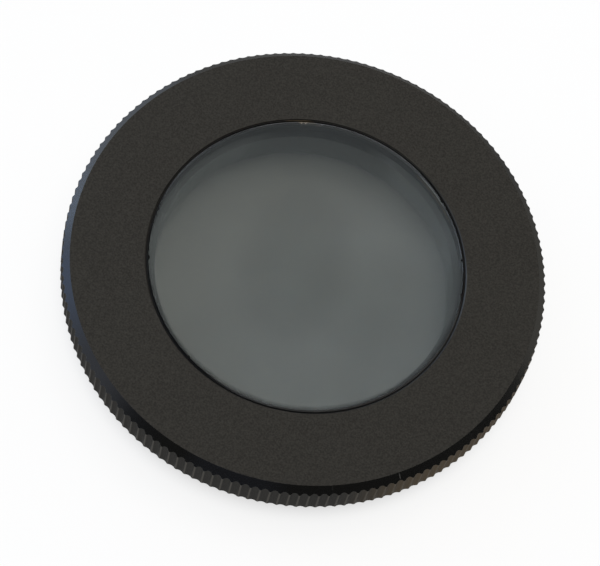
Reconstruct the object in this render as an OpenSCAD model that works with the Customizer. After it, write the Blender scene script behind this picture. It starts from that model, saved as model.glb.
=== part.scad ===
// Microscope polarizer: a knurled disc that drops into a round filter seat and is turned by its rim.
// Sizes are in millimetres. The disc stands on its spigot, with Z up through the optical axis.

/* [Rim] */
// Diameter over the crests of the knurl
rim_d = 52; // [48:0.5:70]
// Thickness of the rim, from its underside to the top face
rim_t = 4.55; // [3:0.05:8]
// Leg of the 45 degree chamfer that cuts the knurl at the top
top_chamfer = 0.85; // [0.3:0.05:1.5]
// Leg of the 45 degree edge break at the underside of the rim
lower_break = 0.3; // [0.1:0.05:0.6]

/* [Knurl] */
// Number of teeth in the straight knurl
knurl_teeth = 160; // [60:2:240]
// Depth of a groove, from crest to root
knurl_depth = 0.2; // [0.1:0.01:0.5]
// Width of the flat on each crest
crest_flat = 0.12; // [0.1:0.01:0.35]

/* [Spigot] */
// Diameter of the spigot that drops into the filter seat
spigot_d = 45; // [38:0.5:45.5]
// Height of the spigot below the rim
spigot_h = 2.6; // [1:0.1:8]
// Leg of the lead-in chamfer around the foot of the spigot
spigot_chamfer = 0.5; // [0.2:0.05:0.9]

/* [Filter] */
// Diameter of the filter
filter_d = 34; // [28:0.1:36]
// Thickness of each cover glass
glass_t = 1.35; // [0.8:0.05:1.5]
// Thickness of the polarizing film between the glasses
film_t = 0.2; // [0.1:0.02:0.3]
// Leg of the ground edge around each face of the filter
glass_break = 0.12; // [0.05:0.01:0.2]

/* [Filter pocket] */
// Radial clearance between the filter and the pocket wall
filter_gap = 0.16; // [0.1:0.01:0.3]
// Depth of the filter below the top face
filter_recess = 0.05; // [0.05:0.05:0.3]
// Width of the ledge under the edge of the filter
ledge_w = 0.9; // [0.5:0.05:3]
// Depth of the open groove around the filter, from the top face to the cement
groove_depth = 0.4; // [0.3:0.05:1.2]
// Leg of the edge break around the mouth of the pocket
mouth_break = 0.12; // [0.05:0.01:0.2]
// Leg of the edge break around the foot of the clear opening
foot_break = 0.3; // [0.1:0.05:0.35]

/* [Hidden] */
// A cylinder or a revolve above this many sides is truly round
$fn = 180;
full_turn = 360;
// Overshoot of a cut past the face that it opens
cut_past = 1;

anodised_black = [0.22, 0.21, 0.2];
clear_glass = [0.78, 0.82, 0.8, 0.4];
film_grey = [0.38, 0.4, 0.39, 0.8];
cement_black = [0.04, 0.04, 0.04];

rim_r = rim_d / 2;
spigot_r = spigot_d / 2;
filter_r = filter_d / 2;
pocket_r = filter_r + filter_gap;
clear_r = filter_r - ledge_w;

total_h = spigot_h + rim_t;
pocket_depth = 2 * glass_t + film_t + filter_recess;
ledge_z = total_h - pocket_depth;
film_z = ledge_z + glass_t;
upper_glass_z = film_z + film_t;
cement_h = pocket_depth - groove_depth;

// Angle from one tooth to the next
tooth_pitch = full_turn / knurl_teeth;
// Half of the angle that a crest and a groove cover at the rim, seen from the axis
crest_half = asin(crest_flat / 2 / rim_r);
groove_half = tooth_pitch / 2 - crest_half;
// Flats that make up the hollow of one groove
groove_flats = 4;

// A point on a circle, at a radius and an angle
function on_circle(r, angle) = [r * cos(angle), r * sin(angle)];

// Outline of the knurl from above: grooves with a parabola for a hollow, and a flat crest between them
knurl_outline = [
    for (groove = [0 : knurl_teeth - 1], flat_end = [0 : groove_flats])
        let (
            root_angle = (groove + 0.5) * tooth_pitch,
            across = 2 * flat_end / groove_flats - 1,
            hollow = knurl_depth * (1 - across * across)
        )
            on_circle(rim_r - hollow, root_angle + across * groove_half)
];

// Half section of the turned blank, which stands past the crests until the knurl is cut
blank_section = [
    [clear_r, foot_break],
    [clear_r, ledge_z],
    [pocket_r, ledge_z],
    [pocket_r, total_h - mouth_break],
    [pocket_r + mouth_break, total_h],
    [rim_r - top_chamfer, total_h],
    [rim_r + cut_past, total_h - top_chamfer - cut_past],
    [rim_r + cut_past, spigot_h + lower_break + cut_past],
    [rim_r - lower_break, spigot_h],
    [spigot_r, spigot_h],
    [spigot_r, spigot_chamfer],
    [spigot_r - spigot_chamfer, 0],
    [clear_r + foot_break, 0]
];

// One cover glass, with its outer edge ground on the lower or the upper face
module cover_glass(z, lower_edge, upper_edge) {
    translate([0, 0, z])
        rotate_extrude()
            polygon([
                [0, 0],
                [filter_r - lower_edge, 0],
                [filter_r, lower_edge],
                [filter_r, glass_t - upper_edge],
                [filter_r - upper_edge, glass_t],
                [0, glass_t]
            ]);
}

// Turned ring in one piece, whose straight knurl is scalloped by the chamfer
module holder_ring() {
    color(anodised_black)
        intersection() {
            rotate_extrude() polygon(blank_section);
            translate([0, 0, -cut_past]) linear_extrude(total_h + 2 * cut_past) polygon(knurl_outline);
        }
}

module lower_glass() {
    color(clear_glass) cover_glass(ledge_z, glass_break, 0);
}

module polarizing_film() {
    color(film_grey)
        translate([0, 0, film_z]) cylinder(r = filter_r, h = film_t);
}

module upper_glass() {
    color(clear_glass) cover_glass(upper_glass_z, 0, glass_break);
}

// Black cement around the filter, which holds it on the ledge
module edge_cement() {
    color(cement_black)
        translate([0, 0, ledge_z])
            difference() {
                cylinder(r = pocket_r, h = cement_h);
                translate([0, 0, -cut_past]) cylinder(r = filter_r, h = cement_h + 2 * cut_past);
            }
}

holder_ring();
lower_glass();
polarizing_film();
upper_glass();
edge_cement();
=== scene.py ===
import math
import bpy
import numpy as np
from mathutils import Matrix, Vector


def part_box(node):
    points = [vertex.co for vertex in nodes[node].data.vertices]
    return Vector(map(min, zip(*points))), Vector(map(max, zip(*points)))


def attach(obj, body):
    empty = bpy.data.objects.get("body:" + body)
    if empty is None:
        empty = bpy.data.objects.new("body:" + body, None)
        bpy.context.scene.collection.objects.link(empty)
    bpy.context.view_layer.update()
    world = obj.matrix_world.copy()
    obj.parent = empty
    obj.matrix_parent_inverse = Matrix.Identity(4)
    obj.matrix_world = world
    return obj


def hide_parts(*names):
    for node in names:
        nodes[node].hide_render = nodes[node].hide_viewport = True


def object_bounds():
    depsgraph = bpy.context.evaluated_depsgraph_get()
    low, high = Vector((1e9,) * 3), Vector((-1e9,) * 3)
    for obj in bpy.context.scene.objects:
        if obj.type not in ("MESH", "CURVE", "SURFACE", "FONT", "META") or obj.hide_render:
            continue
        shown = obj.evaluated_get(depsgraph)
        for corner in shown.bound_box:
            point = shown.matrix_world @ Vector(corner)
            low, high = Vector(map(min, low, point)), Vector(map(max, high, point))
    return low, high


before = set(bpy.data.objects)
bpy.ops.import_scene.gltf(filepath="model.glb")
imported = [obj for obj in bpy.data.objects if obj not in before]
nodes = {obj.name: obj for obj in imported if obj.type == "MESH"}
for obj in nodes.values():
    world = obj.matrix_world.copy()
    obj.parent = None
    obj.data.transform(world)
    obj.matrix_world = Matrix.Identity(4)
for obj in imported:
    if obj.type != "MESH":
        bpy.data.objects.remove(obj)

cadLow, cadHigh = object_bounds()
mm = 0.001
scene = bpy.context.scene
scene.view_settings.view_transform = "Standard"


# Shader building

# One value in a node tree. Python's operators on it add Math nodes, with a number on either side.
class Value:
    def __init__(self, shader, socket):
        self.shader = shader
        self.socket = socket

    def maths(self, operation, *others):
        inputs = dict(enumerate((self,) + others))
        return self.shader.add("ShaderNodeMath", {"operation": operation}, inputs)

    def __add__(self, other):
        return self.maths("ADD", other)

    def __sub__(self, other):
        return self.maths("SUBTRACT", other)

    def __mul__(self, other):
        return self.maths("MULTIPLY", other)

    def __truediv__(self, other):
        return self.maths("DIVIDE", other)

    def __rsub__(self, other):
        return self.shader.add("ShaderNodeMath", {"operation": "SUBTRACT"}, {0: other, 1: self})

    __radd__ = __add__
    __rmul__ = __mul__

    # 0 below low, 1 above high, and a smooth step between them
    def step(self, low, high):
        return self.shader.add(
            "ShaderNodeMapRange", {"interpolation_type": "SMOOTHSTEP"}, {0: self, 1: low, 2: high}
        )

    # The same step, with low and high measured from a base
    def stepFrom(self, base, low, high):
        return self.step(base + low, base + high)

    # 1 within halfWidth of the centre, fading to 0 over the same distance again
    def near(self, centre, halfWidth):
        return 1 - (self - centre).maths("ABSOLUTE").step(halfWidth, 2 * halfWidth)


# A node tree of a material or of the world, and the one method that adds its nodes
class Shader:
    def __init__(self, owner):
        owner.use_nodes = True
        self.owner = owner
        self.tree = owner.node_tree
        self.tree.nodes.clear()

    def add(self, kind, settings={}, inputs={}, output=0):
        node = self.tree.nodes.new(kind)
        for key, setting in settings.items():
            setattr(node, key, setting)
        for key, value in inputs.items():
            if isinstance(value, Value):
                self.tree.links.new(value.socket, node.inputs[key])
            else:
                node.inputs[key].default_value = value
        return Value(self, node.outputs[output])

    # Mix of two colours, each a tuple or a link. Sockets 6 and 7 are the colour inputs of a Mix node.
    def blend(self, amount, first, second):
        ends = {i: c if isinstance(c, Value) else (*c, 1) for i, c in ((6, first), (7, second))}
        return self.add("ShaderNodeMix", {"data_type": "RGBA"}, {0: amount, **ends}, output=2)

    def noise(self, place, size, detail=2.0, roughness=0.5):
        inputs = {"Vector": place, "Scale": 1 / size, "Detail": detail, "Roughness": roughness}
        return self.add("ShaderNodeTexNoise", {}, inputs)

    # The three parts of a vector
    def split(self, vector):
        return (self.add("ShaderNodeSeparateXYZ", {}, {0: vector}, i) for i in range(3))

    # Place on the object: its x, y and z, its distance from the axis and its angle round it
    def findPlace(self):
        self.place = self.add("ShaderNodeTexCoord", output="Object")
        self.x, self.y, self.z = self.split(self.place)
        self.radius = (self.x * self.x + self.y * self.y).maths("SQRT")
        self.angle = self.y.maths("ARCTAN2", self.x)

    # 1 within inner degrees of a direction round the axis, fading to 0 at outer degrees
    def side(self, direction, inner, outer):
        direction, inner, outer = (math.radians(degrees) for degrees in (direction, inner, outer))
        along = self.x * math.cos(direction) + self.y * math.sin(direction)
        return (along / self.radius).step(math.cos(outer), math.cos(inner))

    # Colour that changes within stretches round the axis, each with its own colour
    def stretches(self, colour, stretches):
        for *stretch, shade in stretches:
            colour = self.blend(self.side(*stretch), colour, shade)
        return colour

    # 1 for rays that look for light, which pass straight through the filter
    def lightRay(self):
        shadow = self.add("ShaderNodeLightPath", output="Is Shadow Ray")
        return shadow.maths("MAXIMUM", self.add("ShaderNodeLightPath", output="Is Diffuse Ray"))

    def mixShaders(self, amount, first, second):
        return self.add("ShaderNodeMixShader", {}, {0: amount, 1: first, 2: second})

    # A surface with no shine at all
    def matt(self, colour):
        inputs = {"Base Color": colour, "Roughness": 1, "Specular IOR Level": 0}
        return self.add("ShaderNodeBsdfPrincipled", {}, inputs)

    def bump(self, height):
        return self.add("ShaderNodeBump", {}, {"Strength": 1, "Distance": 1, "Height": height})

    # Joins the surface to the output and gives back the material or the world
    def finish(self, surface):
        forWorld = isinstance(self.owner, bpy.types.World)
        output = self.tree.nodes.new("ShaderNodeOutputWorld" if forWorld else "ShaderNodeOutputMaterial")
        self.tree.links.new(surface.socket, output.inputs["Surface"])
        return self.owner


def newMaterial(name):
    shader = Shader(bpy.data.materials.new(name))
    shader.findPlace()
    return shader


def dress(piece, material):
    piece.data.materials.clear()
    piece.data.materials.append(material)


# Ring

ring = {
    "colour": (0.0400, 0.0375, 0.0335),       # black dye, faded a little to brown
    "mottle": (0.0450, 0.0430, 0.0380),
    # each noise has its size, its detail and mostly its roughness, and shows from one value to another
    "liftNoise": (5 * mm, 3),                 # faded patches
    "liftFrom": (0.35, 0.7),
    "mottleNoise": (0.6 * mm, 3, 0.7),
    "mottleFrom": (0.5, 0.75),
    "mottleShare": 0.25,
    "grainNoise": (0.2 * mm, 3, 0.65),        # blasted grain
    "grainFrom": (0.3, 0.7),
    "grainDark": (0.0316, 0.0288, 0.0244),    # pits and tops of the blasted face
    "grainLight": (0.0650, 0.0598, 0.0505),
    "grainShare": 0.7,
    "chamferColour": (0.0355, 0.0355, 0.0345),
    # painted reflections and shade on the chamfer, lighter, bluish or darker round the axis: a direction,
    # how far to its sides the stretch is full and where it is gone, all in degrees, and its colour
    "chamferLightStretches": (
        (160, 8, 38, (0.0800, 0.0860, 0.0930)),
        (120, 8, 22, (0.0440, 0.0435, 0.0410)),
        (68, 10, 30, (0.0270, 0.0260, 0.0225)),
        (-18, 4, 15, (0.0260, 0.0260, 0.0250)),
        (14, 18, 32, (0.0440, 0.0425, 0.0385)),
        (-92, 6, 14, (0.0500, 0.0530, 0.0620)),
        (-142, 12, 34, (0.0320, 0.0345, 0.0400)),
    ),
    "kerfColour": (0.0400, 0.0388, 0.0360),   # roots of the knurl
    "crestColour": (0.0900, 0.0850, 0.0760),  # crests, where fingers wear the dye
    # painted light: a warm light falling on the near right of the knurl, painted into its colour there
    "warmLightColour": (0.1300, 0.0960, 0.0580),
    "warmLightSide": (-29, 14, 39),
    "warmLightShare": 0.6,
    "crestFrom": 0.2,                         # share of the knurl's depth that counts as its crest
    "knurlFrom": 1.3,                         # depth at which its finish starts, against its own depth
    "boreColour": (0.195, 0.205, 0.215),      # painted light: the bore below the filter is painted pale for the light that reaches it, and lighter and darker round the axis below
    "boreShadeStretches": (
        (48, 16, 36, (0.480, 0.490, 0.510)),
        (168, 24, 52, (0.480, 0.495, 0.500)),
        (96, 14, 36, (0.125, 0.128, 0.136)),
    ),
    # painted light and shade: the ledge is painted pale, and lighter and darker round the axis
    "ledgeColour": (0.300, 0.310, 0.330),
    "ledgeShadeStretches": (
        (50, 14, 34, (0.540, 0.555, 0.580)),
        (180, 30, 60, (0.360, 0.372, 0.390)),
        (146, 12, 30, (0.400, 0.412, 0.430)),
        (98, 8, 30, (0.090, 0.095, 0.105)),
    ),
    "grooveColour": (0.012, 0.012, 0.012),    # pocket wall around the filter
    # painted light: the pocket wall painted lighter at the far side, with a warm painted glint
    "grooveLightStretches": (
        (112, 28, 62, (0.050, 0.049, 0.048)),
        (108, 2, 6, (0.150, 0.120, 0.080)),
    ),
    # colour of the painted glints on the nicks
    "glintMetal": (0.55, 0.54, 0.52),
    "metal": 0.9,                             # share of metal, the rest is dye
    "grazing": 0.45,                          # what is left of a bright metal's reflection at a flat angle
    "topChamfer": 0.85 * mm,
    "knurlDepth": 0.2 * mm,
    "mouthBreak": 0.12 * mm,                  # from the pocket wall to the inner edge of the face
    "mouthWear": 0.04 * mm,                   # half width of the worn line along that edge
    "mouthFrom": (0.45, 0.65),                # where the noise of the faded patches wears it
    "mouthShare": 0.4,
    "edgeBlur": 0.02 * mm,                    # over which one finish runs into the next
    "topFrom": (-0.02 * mm, -0.005 * mm),     # height of the face's finish, from the top
    "insideTo": (0.01 * mm, 0.03 * mm),       # radius where the inner finish ends, from the pocket wall
    "grooveFrom": (0.1 * mm, 0.2 * mm),       # height where the groove's finish starts, from the ledge
    "blastRoughness": 0.56,
    "turnedRoughness": 0.17,
    "mouthRoughness": 0.40,
    "knurlRoughness": 0.45,
    "insideRoughness": 0.35,
    "turnedNoise": (0.5 * mm, 2),             # unevenness of the turned faces, and its strength
    "turnedSpread": 0.08,
    "grainHeight": 0.008 * mm,
    "knurlGrainHeight": 0.004 * mm,
    "toolPitch": 0.09 * mm,                   # feed marks of the lathe on the chamfer and the spigot
    "toolHeight": 0.0005 * mm,
    # nicks in the chamfer, each with its glint painted in as bright metal colour: degrees round the axis,
    # brightness, height on the chamfer, half length
    "nickGlints": ((-52.7, 0.5, 0.4, 0.14 * mm), (-69.0, 0.08, 0.3, 0.1 * mm)),
    "nickWidth": 0.035 * mm,
}


def makeRingMaterial():
    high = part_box("holder_ring")[1]
    rimRadius, top = high.x, high.z
    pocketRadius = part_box("edge_cement")[1].x
    mouthRadius = pocketRadius + ring["mouthBreak"]
    depth, blur = ring["knurlDepth"], ring["edgeBlur"]
    shader = newMaterial("anodisedRing")
    place, z, radius = shader.place, shader.z, shader.radius

    # where each finish lies: the chamfer is the cone on which radius and height have a fixed sum
    coneSum = rimRadius - ring["topChamfer"] + top
    onTop = z.stepFrom(top, *ring["topFrom"])
    onChamfer = (radius + z).near(coneSum, blur) * (1 - onTop)
    onKnurl = radius.stepFrom(rimRadius, -ring["knurlFrom"] * depth, -depth)
    onKnurl = onKnurl * (1 - onChamfer) * (1 - onTop)
    onCrest = radius.stepFrom(rimRadius, -ring["crestFrom"] * depth, 0)
    onMouth = (1 - radius.stepFrom(mouthRadius, 0, blur)) * (1 - onTop)
    inside = 1 - radius.stepFrom(pocketRadius, *ring["insideTo"])

    lifts = shader.noise(place, *ring["liftNoise"])
    mottle = shader.noise(place, *ring["mottleNoise"]).step(*ring["mottleFrom"])
    blasted = shader.noise(place, *ring["grainNoise"])
    plain = shader.blend(lifts.step(*ring["liftFrom"]), ring["colour"], ring["mottle"])
    plain = shader.blend(mottle * ring["mottleShare"], plain, ring["crestColour"])
    grain = shader.blend(blasted.step(*ring["grainFrom"]), ring["grainDark"], ring["grainLight"])
    colour = shader.blend(onTop * ring["grainShare"], plain, grain)
    # painted reflections and shade round the chamfer
    chamferColour = shader.stretches(ring["chamferColour"], ring["chamferLightStretches"])
    colour = shader.blend(onChamfer, colour, chamferColour)
    worn = radius.near(mouthRadius, ring["mouthWear"]) * lifts.step(*ring["mouthFrom"])
    colour = shader.blend(worn * ring["mouthShare"], colour, ring["crestColour"])
    knurlColour = shader.blend(onCrest, ring["kerfColour"], ring["crestColour"])
    # painted light: warm light on the near right of the knurl
    warmLight = shader.side(*ring["warmLightSide"]) * ring["warmLightShare"]
    knurlColour = shader.blend(warmLight, knurlColour, ring["warmLightColour"])
    colour = shader.blend(onKnurl, colour, knurlColour)
    # the nicks, with their glints painted in as bright metal colour
    nickGlints = 0
    for degrees, brightness, height, halfLength in ring["nickGlints"]:
        across = (shader.angle - math.radians(degrees)) * rimRadius
        middle = top - height * ring["topChamfer"]
        mark = across.near(0, ring["nickWidth"]) * z.near(middle, halfLength) * onChamfer * brightness
        nickGlints = mark + nickGlints
    colour = shader.blend(nickGlints, colour, ring["glintMetal"])

    turned = shader.noise(place, *ring["turnedNoise"]) * ring["turnedSpread"]
    roughness = ring["turnedRoughness"] + turned
    finishes = (onTop, "blastRoughness"), (onKnurl, "knurlRoughness"), (onMouth, "mouthRoughness")
    for mask, key in finishes:
        roughness = roughness + mask * (ring[key] - ring["turnedRoughness"])
    feed = ((radius - z) * (2 * math.pi / ring["toolPitch"])).maths("SINE")
    height = blasted * onTop * ring["grainHeight"] + blasted * onKnurl * ring["knurlGrainHeight"]
    height = height + feed * (1 - onTop) * (1 - onKnurl) * ring["toolHeight"]
    outer = shader.add("ShaderNodeBsdfPrincipled", {}, {
        "Base Color": colour, "Roughness": roughness, "Metallic": ring["metal"],
        "Specular Tint": (ring["grazing"],) * 3 + (1,), "Normal": shader.bump(height),
    })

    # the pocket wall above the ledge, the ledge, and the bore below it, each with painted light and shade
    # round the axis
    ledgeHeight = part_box("lower_glass")[0].z
    # painted light and shade on the ledge
    ledgeColour = shader.stretches(ring["ledgeColour"], ring["ledgeShadeStretches"])
    # painted light and shade in the bore
    boreColour = shader.stretches(ring["boreColour"], ring["boreShadeStretches"])
    boreColour = shader.blend(z.near(ledgeHeight, blur), boreColour, ledgeColour)
    # painted light on the pocket wall
    grooveColour = shader.stretches(ring["grooveColour"], ring["grooveLightStretches"])
    aboveLedge = z.stepFrom(ledgeHeight, *ring["grooveFrom"])
    inner = shader.add("ShaderNodeBsdfPrincipled", {}, {
        "Base Color": shader.blend(aboveLedge, boreColour, grooveColour),
        "Roughness": ring["insideRoughness"] + turned,
    })
    return shader.finish(shader.mixShaders(inside, outer, inner))


# Filter

glass = {
    "ior": 1.5,
    "cementedIor": 1.0005,        # next to nothing, since the cement bends light as the glass does
    "reflection": (0.70, 0.79, 0.85, 1),      # bluish anti-reflection coating
    "clearance": 0.01 * mm,       # keeps the glass off the faces that touch it
    "edgeBreak": 0.12 * mm,
    "waviness": 0.27,             # roughness that softens what lies below the filter
    "wavesTo": (0.1 * mm, 0.2 * mm),          # height where it ends, from the ledge
    "hazeNoise": (6 * mm, 4, 0.6),            # patches of haze, and the share of haze in them
    "hazeFrom": (0.3, 0.8),
    "haze": 0.008,
    "speckNoise": (0.25 * mm, 2),             # specks of dust, and the share of dust in them
    "speckFrom": (0.72, 0.8),
    "specks": 0.03,
    "hazeColour": (0.5, 0.53, 0.56),
    "groundNoise": (0.12 * mm, 3, 0.7),
    "groundFrom": (0.35, 0.75),
    "groundColour": (0.085, 0.086, 0.087),
    "blackenedColour": (0.048, 0.049, 0.050),
    "lowerGround": (0.220, 0.225, 0.235),     # the lower glass is not blackened; its far side is darker, as painted shade
    "farShadeSide": (98, 14, 36),
    "farShadeHeight": (0.5 * mm, 1.2 * mm),       # from the ledge up
    "farShadeShare": 0.6,
    "smearColour": (0.008, 0.008, 0.008),     # cement on the upper bevel
    "smearBlur": 0.012 * mm,      # half of the height over which it starts, at the bevel's foot
    # direction, where it is full and gone, and strength
    "smears": ((28, 20, 38, 1), (212, 30, 52, 1), (152, 18, 36, 0.7)),
    # painted light: stretches of the ground edge painted less black round the axis, as on the chamfer of
    # the ring
    "groundLightStretches": (
        (92, 30, 60, (0.100, 0.101, 0.103)),
        (142, 8, 24, (0.110, 0.113, 0.117)),
        (172, 18, 38, (0.150, 0.157, 0.165)),
        (14, 12, 24, (0.120, 0.126, 0.130)),
    ),
    "edgeShade": (0.020, 0.020, 0.021),           # painted shade: darkening on the glass along its near edge
    "edgeShadeFrom": (-0.8 * mm, 0),  # radius where it starts and is full, from the filter's edge
    "edgeShadeShare": 0.7,
    "edgeShadeTint": 0.04,            # strength of the painted shade at which the dust takes its colour
    "edgeShadeSide": (-76, 55, 100),
    "glintGrain": 0.6,             # how much of a painted warm glint the ground grain breaks up
    # painted glints, warm reflections at the glass edge painted as colour: direction, where it is full and
    # gone, depth, half height and colour
    "warmGlints": (
        (50, 4, 8, 1.15 * mm, 0.15 * mm, (0.420, 0.410, 0.350)),
        (48, 8, 13, 1.9 * mm, 0.3 * mm, (0.400, 0.300, 0.170)),
        (103, 2, 5, 0.75 * mm, 0.35 * mm, (0.300, 0.285, 0.230)),
        (105, 2, 4, 0.2 * mm, 0.12 * mm, (0.210, 0.170, 0.120)),
    ),
    "chips": 26,                  # small chips around the ground edge
    "chipSize": (0.05 * mm, 0.22 * mm),
    "chipSpread": (0.8, 1.8),     # half width of a chip along the edge, against its size
    "turns": 1440,                # points around the edge
    "seed": 7,
}


# Glass that lamps and soft light pass straight through, and that the camera and reflections see bent
def makeGlassMaterial():
    shader = newMaterial("coverGlass")
    place = shader.place
    # the film's fine waviness is given to the underside of the lower glass
    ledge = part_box("lower_glass")[0].z
    waves = (1 - shader.z.stepFrom(ledge, *glass["wavesTo"])) * glass["waviness"]
    pane = shader.add("ShaderNodeBsdfPrincipled", {}, {
        "Base Color": (1, 1, 1, 1), "Roughness": waves, "IOR": glass["ior"], "Transmission Weight": 1,
        "Specular Tint": glass["reflection"],
    })
    patches = shader.noise(place, *glass["hazeNoise"]).step(*glass["hazeFrom"])
    specks = shader.noise(place, *glass["speckNoise"]).step(*glass["speckFrom"])
    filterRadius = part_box("upper_glass")[1].x
    # painted shade along the near edge of the glass, mixed in with the dust
    edgeShade = shader.radius.stepFrom(filterRadius, *glass["edgeShadeFrom"]) * shader.side(*glass["edgeShadeSide"])
    # the dust has its own colour only where there is no painted shade, since a mix of both would look pale
    dustAndShadeColour = shader.blend(edgeShade.step(0, glass["edgeShadeTint"]), glass["hazeColour"], glass["edgeShade"])
    dustAndShadeShare = patches * glass["haze"] + specks * glass["specks"] + edgeShade * glass["edgeShadeShare"]
    dustyAndShaded = shader.mixShaders(dustAndShadeShare, pane, shader.matt(dustAndShadeColour))
    clear = shader.add("ShaderNodeBsdfTransparent")
    return shader.finish(shader.mixShaders(shader.lightRay(), dustyAndShaded, clear))


# The face that is cemented to the film, where light goes straight on
def makeCementedMaterial():
    shader = newMaterial("cementedFace")
    straight = shader.add("ShaderNodeBsdfRefraction", {}, {"Roughness": 0, "IOR": glass["cementedIor"]})
    clear = shader.add("ShaderNodeBsdfTransparent")
    return shader.finish(shader.mixShaders(shader.lightRay(), straight, clear))


def makeGroundEdgeMaterial():
    shader = newMaterial("groundEdge")
    z = shader.z
    grain = shader.noise(shader.place, *glass["groundNoise"]).step(*glass["groundFrom"])
    colour = shader.blend(grain, glass["blackenedColour"], glass["groundColour"])
    # painted light round the ground edge
    colour = shader.stretches(colour, glass["groundLightStretches"])
    filmLow, filmHigh = (corner.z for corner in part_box("polarizing_film"))
    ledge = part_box("lower_glass")[0].z
    # painted shade: the far side of the lower glass's ground edge is darker near the ledge
    dark = shader.side(*glass["farShadeSide"]) * (1 - z.stepFrom(ledge, *glass["farShadeHeight"]))
    below = (1 - z.step(filmLow, filmHigh)) * (1 - dark * glass["farShadeShare"])
    colour = shader.blend(below, colour, glass["lowerGround"])
    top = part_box("upper_glass")[1].z
    # painted warm glints on the ground edge
    for direction, inner, outer, depth, halfHeight, shade in glass["warmGlints"]:
        glint = shader.side(direction, inner, outer) * z.near(top - depth, halfHeight)
        glint = glint * (1 - glass["glintGrain"] * (1 - grain))
        colour = shader.blend(glint, colour, shade)
    onBevel = z.stepFrom(top - glass["edgeBreak"], -glass["smearBlur"], glass["smearBlur"])
    for *stretch, strength in glass["smears"]:
        colour = shader.blend(shader.side(*stretch) * onBevel * strength, colour, glass["smearColour"])
    return shader.finish(shader.matt(colour))


film = {
    "through": (0.362, 0.376, 0.366),     # share of light that the film lets through
    # denser film, for the clouds and for the painted shade
    "cloudAndShade": (0.288, 0.299, 0.289),
    "cloudNoise": (5 * mm, 2, 0.4),
    "cloudFrom": (0.3, 0.7),
    "cloudShare": 0.15,
    # painted shade: faint darker zones in the film for shade seen through it: middle, how far each one
    # reaches along x and y, and how dense it is
    "shadeZones": (
        (-1.5 * mm, 0, 7.5 * mm, 11.5 * mm, 0.65),
        (10 * mm, -1.5 * mm, 12 * mm, 8.5 * mm, 0.6),
        (11 * mm, -13 * mm, 9 * mm, 7 * mm, 0.35),
        (-2 * mm, -14 * mm, 22 * mm, 12 * mm, 0.22),
    ),
}


def makeFilmMaterial():
    shader = newMaterial("polarizingFilm")
    # each of the two faces takes its square root of the whole, so that crossing both gives it
    thin, dense = (tuple(math.sqrt(c) for c in film[key]) + (1,) for key in ("through", "cloudAndShade"))
    cloudsAndShade = shader.noise(shader.place, *film["cloudNoise"]).step(*film["cloudFrom"])
    cloudsAndShade = cloudsAndShade * film["cloudShare"]
    # painted shade: darker zones of the film
    for middleX, middleY, reachX, reachY, density in film["shadeZones"]:
        across, along = (shader.x - middleX) * (1 / reachX), (shader.y - middleY) * (1 / reachY)
        cloudsAndShade = cloudsAndShade + (1 - (across * across + along * along).step(0, 1)) * density
    thinFilm = shader.add("ShaderNodeBsdfTransparent", {}, {"Color": thin})
    denseFilm = shader.add("ShaderNodeBsdfTransparent", {}, {"Color": dense})
    return shader.finish(shader.mixShaders(cloudsAndShade, thinFilm, denseFilm))


cement = {
    "colour": (0.006, 0.006, 0.006),
    "shine": (0.014, 0.013, 0.012),
    "lumpNoise": (0.3 * mm, 3, 0.6),
    "lumpHeight": 0.05 * mm,
    "roughness": 0.45,
    "roughnessSpread": 0.3,
    "specular": 0.3,
}


def makeCementMaterial():
    shader = newMaterial("blackCement")
    lumps = shader.noise(shader.place, *cement["lumpNoise"])
    surface = shader.add("ShaderNodeBsdfPrincipled", {}, {
        "Base Color": shader.blend(lumps, cement["colour"], cement["shine"]),
        "Roughness": cement["roughness"] + lumps * cement["roughnessSpread"],
        "Specular IOR Level": cement["specular"],
        "Normal": shader.bump(lumps * cement["lumpHeight"]),
    })
    return shader.finish(surface)


sharpAngle = math.radians(20)      # edges between faces that meet at more than this stay sharp


# Closed surface turned about the Z axis: row i holds the radius and the height of the section's point i
# at every angle, and a pole closes each end. The materials run from the fan at the first pole, over the
# bands between the rows, to the fan at the last pole.
def turnedPiece(name, radii, heights, materials):
    rows, turns = radii.shape
    angles = np.arange(turns) * 2 * np.pi / turns
    ringPoints = np.stack((radii * np.cos(angles), radii * np.sin(angles), heights), axis=-1)
    poles = np.array([[0, 0, heights[0].mean()], [0, 0, heights[-1].mean()]])
    points = np.concatenate((ringPoints.reshape(-1, 3), poles))
    here = np.arange(turns)
    following = np.roll(here, -1)
    start = np.arange(rows - 1)[:, None] * turns
    quads = np.stack((start + here, start + following, start + turns + following, start + turns + here), -1)
    quads = quads.reshape(-1, 4)
    lastRow = (rows - 1) * turns
    lower = np.stack((np.full(turns, rows * turns), following, here), -1)
    upper = np.stack((np.full(turns, rows * turns + 1), lastRow + here, lastRow + following), -1)
    mesh = bpy.data.meshes.new(name)
    mesh.from_pydata(points.tolist(), [], lower.tolist() + quads.tolist() + upper.tolist())
    for material in materials:
        mesh.materials.append(material)
    mesh.polygons.foreach_set("material_index", np.repeat(np.arange(len(materials)), turns))
    mesh.polygons.foreach_set("use_smooth", np.ones(len(mesh.polygons), bool))
    mesh.set_sharp_from_angle(angle=sharpAngle)
    mesh.update()
    piece = bpy.data.objects.new(name, mesh)
    scene.collection.objects.link(piece)
    return piece


# Width of the ground edge at every angle: the plain break, plus a pointed bump for each chip
def chippedEdge(angles, radius):
    random = np.random.default_rng(glass["seed"])
    places = random.uniform(-np.pi, np.pi, glass["chips"])
    sizes = random.uniform(*glass["chipSize"], glass["chips"])
    halfWidths = random.uniform(*glass["chipSpread"], glass["chips"]) * sizes / radius
    away = np.abs((angles[:, None] - places + np.pi) % (2 * np.pi) - np.pi)
    chips = np.clip(1 - away / halfWidths, 0, 1) * sizes
    return glass["edgeBreak"] + chips.max(axis=1)


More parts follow.
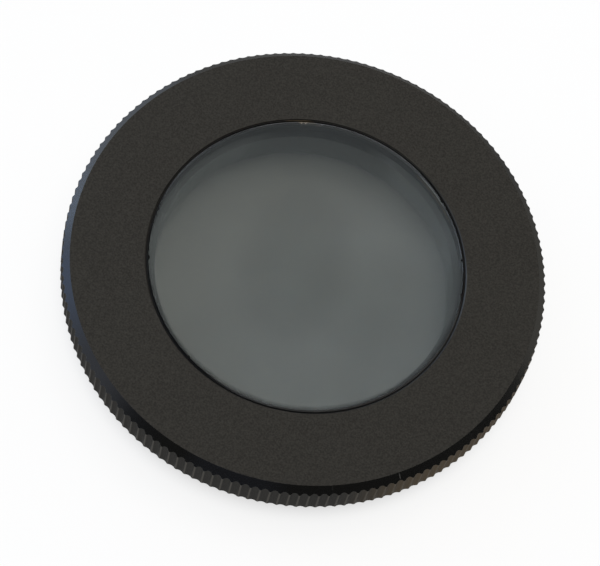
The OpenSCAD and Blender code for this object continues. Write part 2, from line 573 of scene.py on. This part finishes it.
# One cover glass, its face on the film lifted off by the clearance, its outer edge ground and chipped
def makeGlass(name, node, groundAbove, clear, ground, cemented):
    low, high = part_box(node)
    gap = glass["clearance"]
    radius = high.x - gap
    angles = np.arange(glass["turns"]) * 2 * np.pi / glass["turns"]
    chipped = chippedEdge(angles, radius)
    level = np.ones(glass["turns"])
    bottom = low.z + gap
    if groundAbove:
        top = high.z
        radii = np.stack((radius * level, radius * level, radius - chipped))
        heights = np.stack((bottom * level, (top - glass["edgeBreak"]) * level, top * level))
        materials = (cemented, ground, ground, clear)
    else:
        top = high.z - gap
        radii = np.stack((radius - chipped, radius * level, radius * level))
        heights = np.stack((bottom * level, (bottom + glass["edgeBreak"]) * level, top * level))
        materials = (clear, ground, ground, cemented)
    piece = turnedPiece(name, radii, heights, materials)
    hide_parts(node)
    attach(piece, "root")


print("Dressing the ring, the film and the cement")
dress(nodes["holder_ring"], makeRingMaterial())
dress(nodes["polarizing_film"], makeFilmMaterial())
dress(nodes["edge_cement"], makeCementMaterial())

print("Making the two cover glasses")
glassMaterials = (makeGlassMaterial(), makeGroundEdgeMaterial(), makeCementedMaterial())
makeGlass("upperGlass", "upper_glass", True, *glassMaterials)
makeGlass("lowerGlass", "lower_glass", False, *glassMaterials)


# Studio

studio = {
    "floorColour": (0.92, 0.92, 0.92),
    "floorSize": 3.0,
    "floorDrop": 0.02 * mm,         # keeps the floor's face off the foot of the ring
    "floorRoughness": 0.3,
    "floorExtra": 0.88,             # makes the floor around the object white in the picture
    "extraFrom": (-6 * mm, 1 * mm), # radius where that starts and is full, from the rim
    "skyLevel": 0.95,
    "skyColour": (1.0, 0.985, 0.95),
    "darkLevel": 0.105,             # of the side where the viewer stands
    "darkTowards": (0.5, -0.866, 0.1),
    "darkFrom": (0.04, 0.34),       # how far towards it the dark starts and is full
    "windowColour": (2.3, 3.0, 4.2),
    "windowTowards": (-0.85, 0.5, 0.12),
    "windowFrom": (0.6, 1.1),
    "lampSize": 0.6,
    "lampPower": 3.0,
    "lampColour": (1.0, 0.95, 0.88),
    "lampPlace": (0.1, 0.25, 0.8),
}


# 1 for rays that show the background: from the camera, a reflection or through glass
def seenRay(shader):
    camera, glossy, through = (
        shader.add("ShaderNodeLightPath", output=name)
        for name in ("Is Camera Ray", "Is Glossy Ray", "Is Transmission Ray")
    )
    return camera.maths("MAXIMUM", glossy).maths("MAXIMUM", through)


def makeFloor():
    half = studio["floorSize"] / 2
    mesh = bpy.data.meshes.new("floor")
    height = -studio["floorDrop"]
    corners = ((-half, -half), (half, -half), (half, half), (-half, half))
    mesh.from_pydata([(x, y, height) for x, y in corners], [], [(0, 1, 2, 3)])
    floor = bpy.data.objects.new("floor", mesh)
    scene.collection.objects.link(floor)
    shader = newMaterial("paleFloor")
    paper = shader.add("ShaderNodeBsdfPrincipled", {}, {
        "Base Color": (*studio["floorColour"], 1), "Roughness": studio["floorRoughness"],
    })
    glow = shader.add("ShaderNodeEmission", {}, {"Strength": 1})
    aroundDisc = shader.radius.stepFrom(cadHigh.x, *studio["extraFrom"])
    share = seenRay(shader) * aroundDisc * studio["floorExtra"]
    dress(floor, shader.finish(shader.mixShaders(share, paper, glow)))


# Sky with a dark side where the viewer stands, a bluish window at the left and pale light elsewhere
def makeSky():
    shader = Shader(bpy.data.worlds.new("sky"))
    scene.world = shader.owner
    parts = list(shader.split(shader.add("ShaderNodeTexCoord", output="Generated")))

    # how far a ray of the sky points in a direction
    def lean(direction):
        x, y, z = (part * share for part, share in zip(parts, direction))
        return x + y + z

    dark = lean(studio["darkTowards"]).step(*studio["darkFrom"])
    window = lean(studio["windowTowards"]).step(*studio["windowFrom"])
    colour = shader.blend(window, studio["skyColour"], studio["windowColour"])
    level = studio["skyLevel"] * (1 - dark) + studio["darkLevel"] * dark
    light = shader.add("ShaderNodeBackground", {}, {0: colour, 1: level})
    white = shader.add("ShaderNodeBackground", {}, {0: (1, 1, 1, 1), 1: 1})
    seen = shader.add("ShaderNodeLightPath", output="Is Camera Ray")
    shader.finish(shader.mixShaders(seen, light, white))


def makeLamp():
    lamp = bpy.data.lights.new("softbox", "AREA")
    lamp.size = studio["lampSize"]
    lamp.energy = studio["lampPower"]
    lamp.color = studio["lampColour"]
    piece = bpy.data.objects.new("softbox", lamp)
    piece.location = studio["lampPlace"]
    towards = -piece.location
    piece.rotation_euler = towards.to_track_quat("-Z", "Y").to_euler()
    piece.visible_glossy = False
    scene.collection.objects.link(piece)


# The camera's place and turn, fitted to the circles of the disc
camera = {
    "lens": 158.45,
    "sensor": 36.0,
    "distance": 0.281,       # from the middle of the top face
    "elevation": 64.12,      # degrees above the horizon
    "roll": 16.47,
    "pan": 0.02,
    "tilt": -0.46,
    "clipStart": 0.01,
}


def makeCamera():
    data = bpy.data.cameras.new("camera")
    data.lens = camera["lens"]
    data.sensor_width = camera["sensor"]
    data.clip_start = camera["clipStart"]
    piece = bpy.data.objects.new("camera", data)
    scene.collection.objects.link(piece)
    top = cadHigh.z
    place = Matrix.Translation((0, 0, top))
    elevation = math.radians(camera["elevation"])
    # it stands at its elevation, looks at the middle of the face, and turns about its own axes
    place @= Matrix.Rotation(math.pi / 2 - elevation, 4, "X")
    place @= Matrix.Translation((0, 0, camera["distance"]))
    place @= Matrix.Rotation(math.radians(camera["pan"]), 4, "Y")
    place @= Matrix.Rotation(math.radians(camera["tilt"]), 4, "X")
    place @= Matrix.Rotation(math.radians(camera["roll"]), 4, "Z")
    piece.matrix_world = place
    scene.camera = piece


print("Setting the studio")
makeFloor()
makeSky()
makeLamp()
makeCamera()
